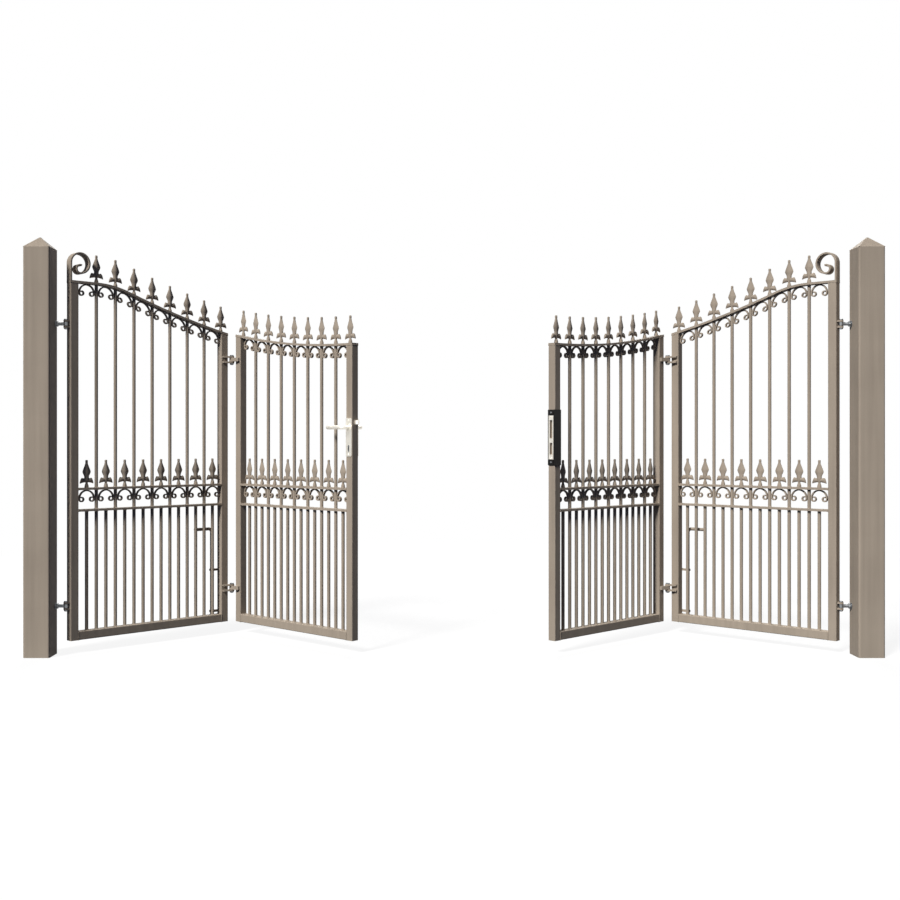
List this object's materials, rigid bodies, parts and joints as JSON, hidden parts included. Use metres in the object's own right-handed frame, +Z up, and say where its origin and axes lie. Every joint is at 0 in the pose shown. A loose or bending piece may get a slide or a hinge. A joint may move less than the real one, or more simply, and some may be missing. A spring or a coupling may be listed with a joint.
{
  "type": "bi-fold driveway gate",
  "caption": "Pair of folding steel driveway gates in wrought-iron style with swept top rail, spear railheads, scrollwork, drop bolts and lever latch, hung between square posts.",
  "frame": {"origin": "centre of the left post's foot, at ground level", "axes": "+X across the opening from the left post to the right post, +Y towards the side that the folds swing out to, +Z up"},
  "size_m": [3.878, 0.7144, 1.9],
  "materials": {
    "powder_coat": "satin warm grey powder coat",
    "black_coat": "satin black powder coat",
    "zinc_steel": "bright zinc plate",
    "stainless_steel": "satin stainless steel"
  },
  "bodies": {
    "posts": {"left_post": "powder_coat", "right_post": "powder_coat", "post_caps": "powder_coat", "post_eyebolts": "zinc_steel"},
    "left_outer_leaf": {"left_outer_stiles": "powder_coat", "left_outer_bottom_rail": "powder_coat", "left_outer_rails": "powder_coat", "left_outer_bars": "powder_coat", "left_outer_railheads": "powder_coat", "left_outer_scrolls": "powder_coat", "left_outer_stile_scroll": "powder_coat", "left_outer_hinge_lugs": "powder_coat", "left_outer_hinge_pins": "zinc_steel", "left_outer_bolt_guides": "powder_coat"},
    "left_inner_leaf": {"left_inner_stiles": "powder_coat", "left_inner_bottom_rail": "powder_coat", "left_inner_rails": "powder_coat", "left_inner_bars": "powder_coat", "left_inner_railheads": "powder_coat", "left_inner_scrolls": "powder_coat", "left_inner_fold_eyes": "powder_coat", "lock_plates": "stainless_steel"},
    "right_outer_leaf": {"right_outer_stiles": "powder_coat", "right_outer_bottom_rail": "powder_coat", "right_outer_rails": "powder_coat", "right_outer_bars": "powder_coat", "right_outer_railheads": "powder_coat", "right_outer_scrolls": "powder_coat", "right_outer_stile_scroll": "powder_coat", "right_outer_hinge_lugs": "powder_coat", "right_outer_hinge_pins": "zinc_steel", "right_outer_bolt_guides": "powder_coat"},
    "right_inner_leaf": {"right_inner_stiles": "powder_coat", "right_inner_bottom_rail": "powder_coat", "right_inner_rails": "powder_coat", "right_inner_bars": "powder_coat", "right_inner_railheads": "powder_coat", "right_inner_scrolls": "powder_coat", "right_inner_fold_eyes": "powder_coat", "keep_body": "black_coat", "strike_plate": "stainless_steel"},
    "left_bolt": {"left_drop_bolt": "powder_coat"},
    "right_bolt": {"right_drop_bolt": "powder_coat"},
    "lever": {"lever_handles": "stainless_steel"},
    "latch": {"latch_bolt": "stainless_steel"}
  },
  "joints": [
    {"name": "left_post_hinge", "type": "hinge", "parent": "posts", "child": "left_outer_leaf", "pos_m": [0.106, 0.0336, 0], "axis": [0, 0, -1], "range_deg": [-46.5, 43.5]},
    {"name": "left_fold_hinge", "type": "hinge", "parent": "left_outer_leaf", "child": "left_inner_leaf", "pos_m": [0.7725, 0.62128, 0], "axis": [0, 0, 1], "range_deg": [-88, 87]},
    {"name": "left_bolt_drop", "type": "slide", "parent": "left_outer_leaf", "child": "left_bolt", "axis": [0, 0, 1], "range_m": [-0.125, 0]},
    {"name": "right_post_hinge", "type": "hinge", "parent": "posts", "child": "right_outer_leaf", "pos_m": [3.652, 0.0336, 0], "axis": [0, 0, 1], "range_deg": [-46.5, 43.5]},
    {"name": "right_fold_hinge", "type": "hinge", "parent": "right_outer_leaf", "child": "right_inner_leaf", "pos_m": [2.9855, 0.62128, 0], "axis": [0, 0, -1], "range_deg": [-88, 87]},
    {"name": "right_bolt_drop", "type": "slide", "parent": "right_outer_leaf", "child": "right_bolt", "axis": [0, 0, 1], "range_m": [-0.125, 0]},
    {"name": "lever_turn", "type": "hinge", "parent": "left_inner_leaf", "child": "lever", "pos_m": [1.41434, 0.057, 1.038], "axis": [-0.6884, -0.7254, 0], "range_deg": [0, 45], "stiffness_Nm_per_rad": 2, "springref_deg": -22.92},
    {"name": "latch_slide", "type": "slide", "parent": "left_inner_leaf", "child": "latch", "axis": [-0.7254, 0.6884, 0], "range_m": [0, 0.02]}
  ],
  "couplings": [
    {"joint": "latch_slide", "follows": "lever_turn", "m_per_rad": 0.025465}
  ]
}
